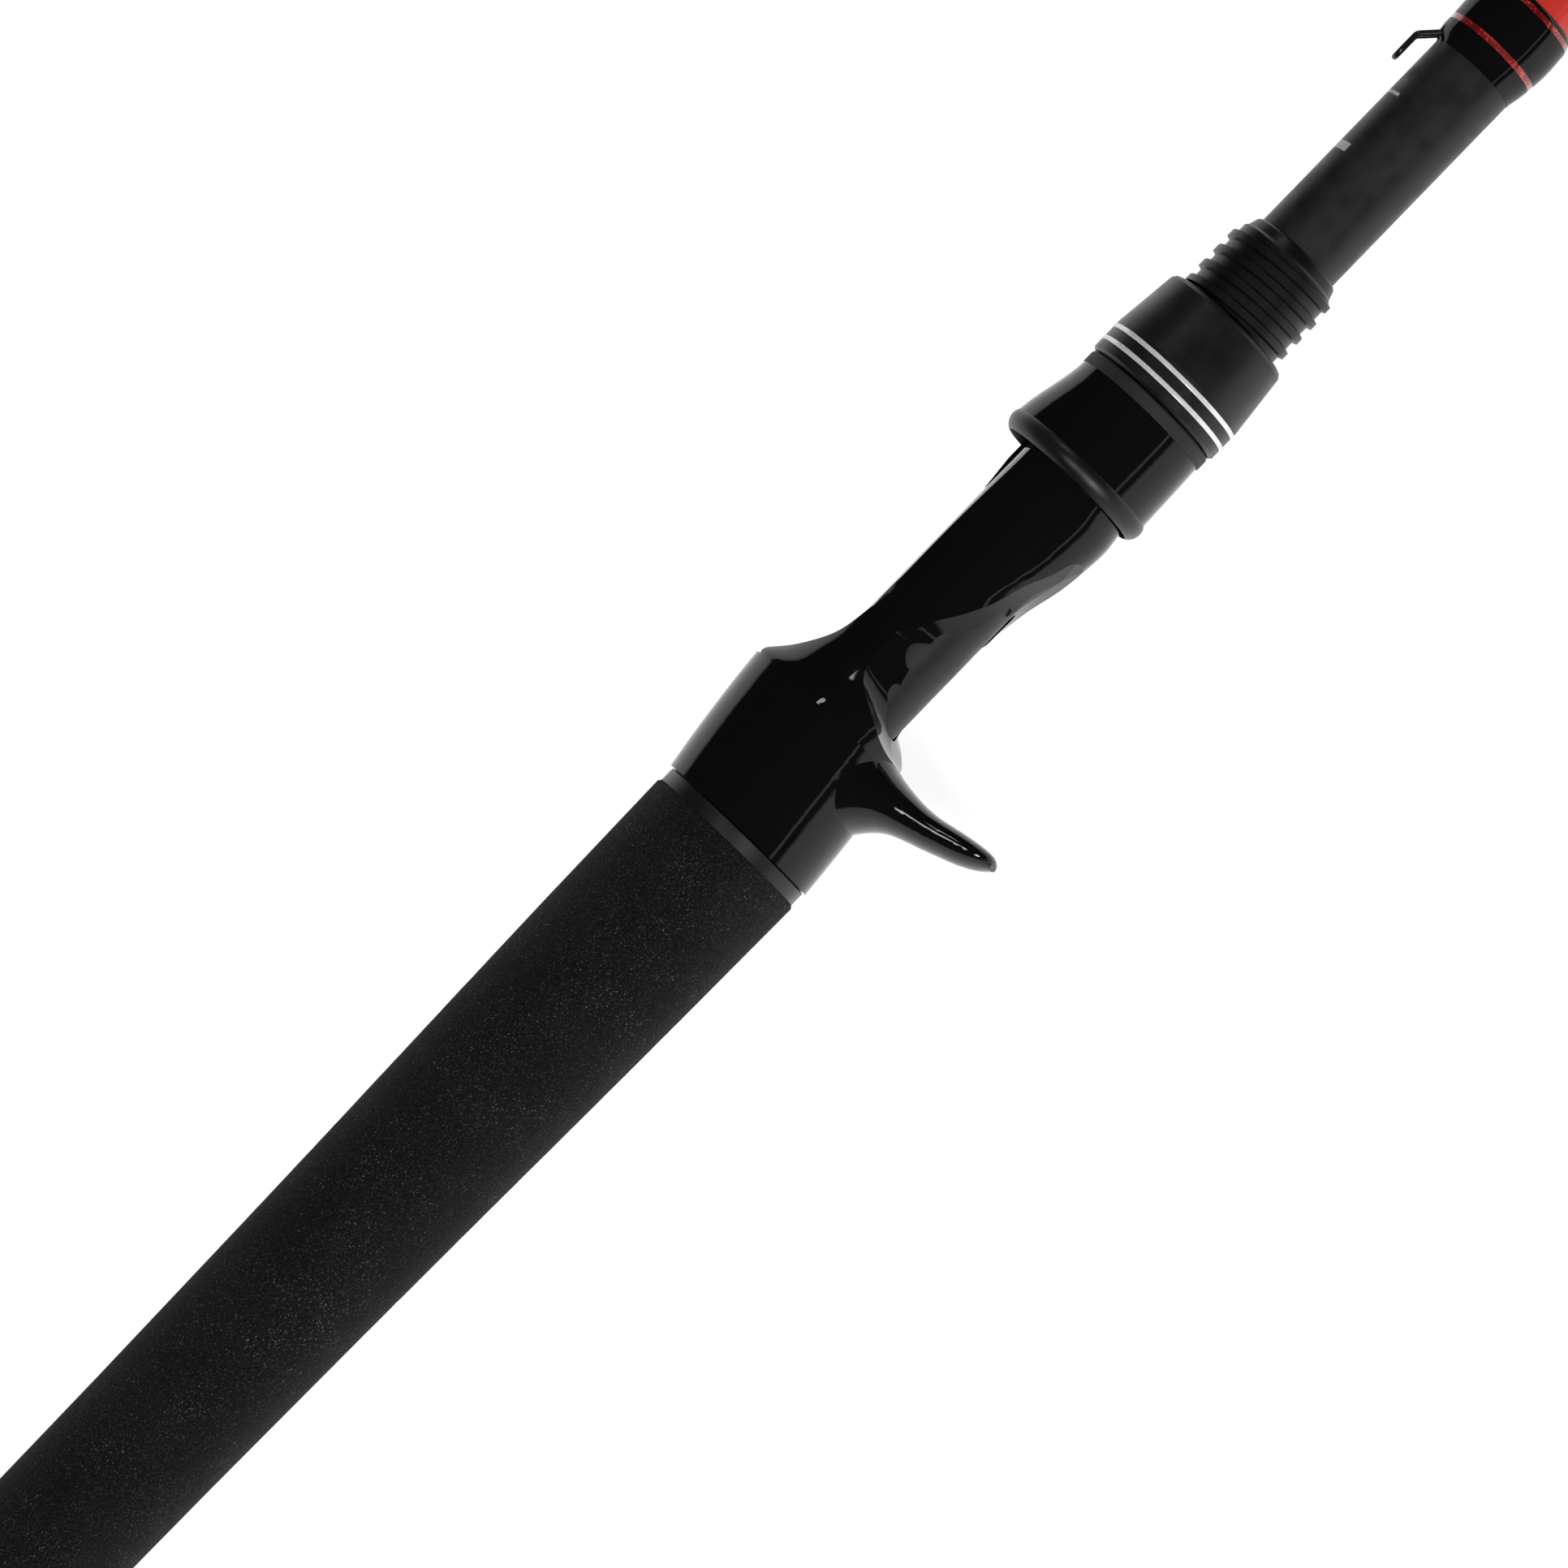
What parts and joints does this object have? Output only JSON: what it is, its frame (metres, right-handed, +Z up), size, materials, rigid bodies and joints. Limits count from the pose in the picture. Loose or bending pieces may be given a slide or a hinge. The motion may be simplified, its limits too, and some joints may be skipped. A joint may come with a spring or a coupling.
{
  "type": "casting fishing rod",
  "caption": "One-piece casting rod with a trigger reel seat, screw-locked moving hood, long foam rear grip, hook keeper, line guides and a tip guide; no reel fitted.",
  "frame": {"origin": "on the surface the rod lies on, under the middle of its bounding box", "axes": "+X along the blank from butt to tip, +Y towards the reel and guide side, -Y towards the trigger, +Z up with the rod lying on its side"},
  "size_m": [1.829, 0.065, 0.0293],
  "materials": {
    "blank_paint": "clear-coated red paint on a composite tube, matte black in the handle",
    "foam_grip": "fine-grained closed-cell foam",
    "butt_rubber": "satin moulded rubber",
    "check_black": "satin black anodised",
    "seat_black": "polished black moulding",
    "shim_tape": "wound glass tape",
    "keeper_wire": "black plated wire",
    "wrap_black": "thread under clear epoxy",
    "trim_red": "metallic red thread under clear epoxy",
    "hood_black": "polished black moulding",
    "liner_black": "satin black liner",
    "washer_grain": "grainy matt rubber",
    "nut_black": "satin black",
    "nut_silver": "polished",
    "clip_steel": "spring wire",
    "guide_frame": "black plated wire",
    "guide_ceramic": "polished dark ceramic"
  },
  "bodies": {
    "rod": {"blank": "blank_paint", "butt_cap": "butt_rubber", "rear_grip": "foam_grip", "winding_check": "check_black", "reel_seat_body": "seat_black", "seat_shim_rear": "shim_tape", "seat_shim_middle": "shim_tape", "seat_shim_front": "shim_tape", "hook_keeper": "keeper_wire", "keeper_wrap": "wrap_black", "keeper_trim_rear": "trim_red", "keeper_trim_front": "trim_red", "guide_1_frame": "guide_frame", "guide_1_ring": "guide_ceramic", "guide_1_wraps": "wrap_black", "guide_2_frame": "guide_frame", "guide_2_ring": "guide_ceramic", "guide_2_wraps": "wrap_black", "guide_3_frame": "guide_frame", "guide_3_ring": "guide_ceramic", "guide_3_wraps": "wrap_black", "guide_4_frame": "guide_frame", "guide_4_ring": "guide_ceramic", "guide_4_wraps": "wrap_black", "guide_5_frame": "guide_frame", "guide_5_ring": "guide_ceramic", "guide_5_wraps": "wrap_black", "guide_6_frame": "guide_frame", "guide_6_ring": "guide_ceramic", "guide_6_wraps": "wrap_black", "guide_7_frame": "guide_frame", "guide_7_ring": "guide_ceramic", "guide_7_wraps": "wrap_black", "tip_frame": "guide_frame", "tip_ring": "guide_ceramic", "tip_wrap": "wrap_black"},
    "hood": {"hood_shell": "hood_black", "hood_liner": "liner_black", "hood_washer": "washer_grain"},
    "nut": {"lock_nut": "nut_black", "nut_ring_rear": "nut_silver", "nut_ring_front": "nut_silver", "nut_clip": "clip_steel"}
  },
  "joints": [
    {"name": "hood_slide", "type": "slide", "parent": "rod", "child": "hood", "axis": [1, 0, 0], "range_m": [-0.008, 0.0115]},
    {"name": "nut_turn", "type": "hinge", "parent": "hood", "child": "nut", "pos_m": [-0.5485, 0.00271, 0.01465], "axis": [1, 0, 0], "range_deg": [-880, 1270]}
  ],
  "couplings": [
    {"joint": "hood_slide", "follows": "nut_turn", "m_per_rad": 0.00051725}
  ]
}
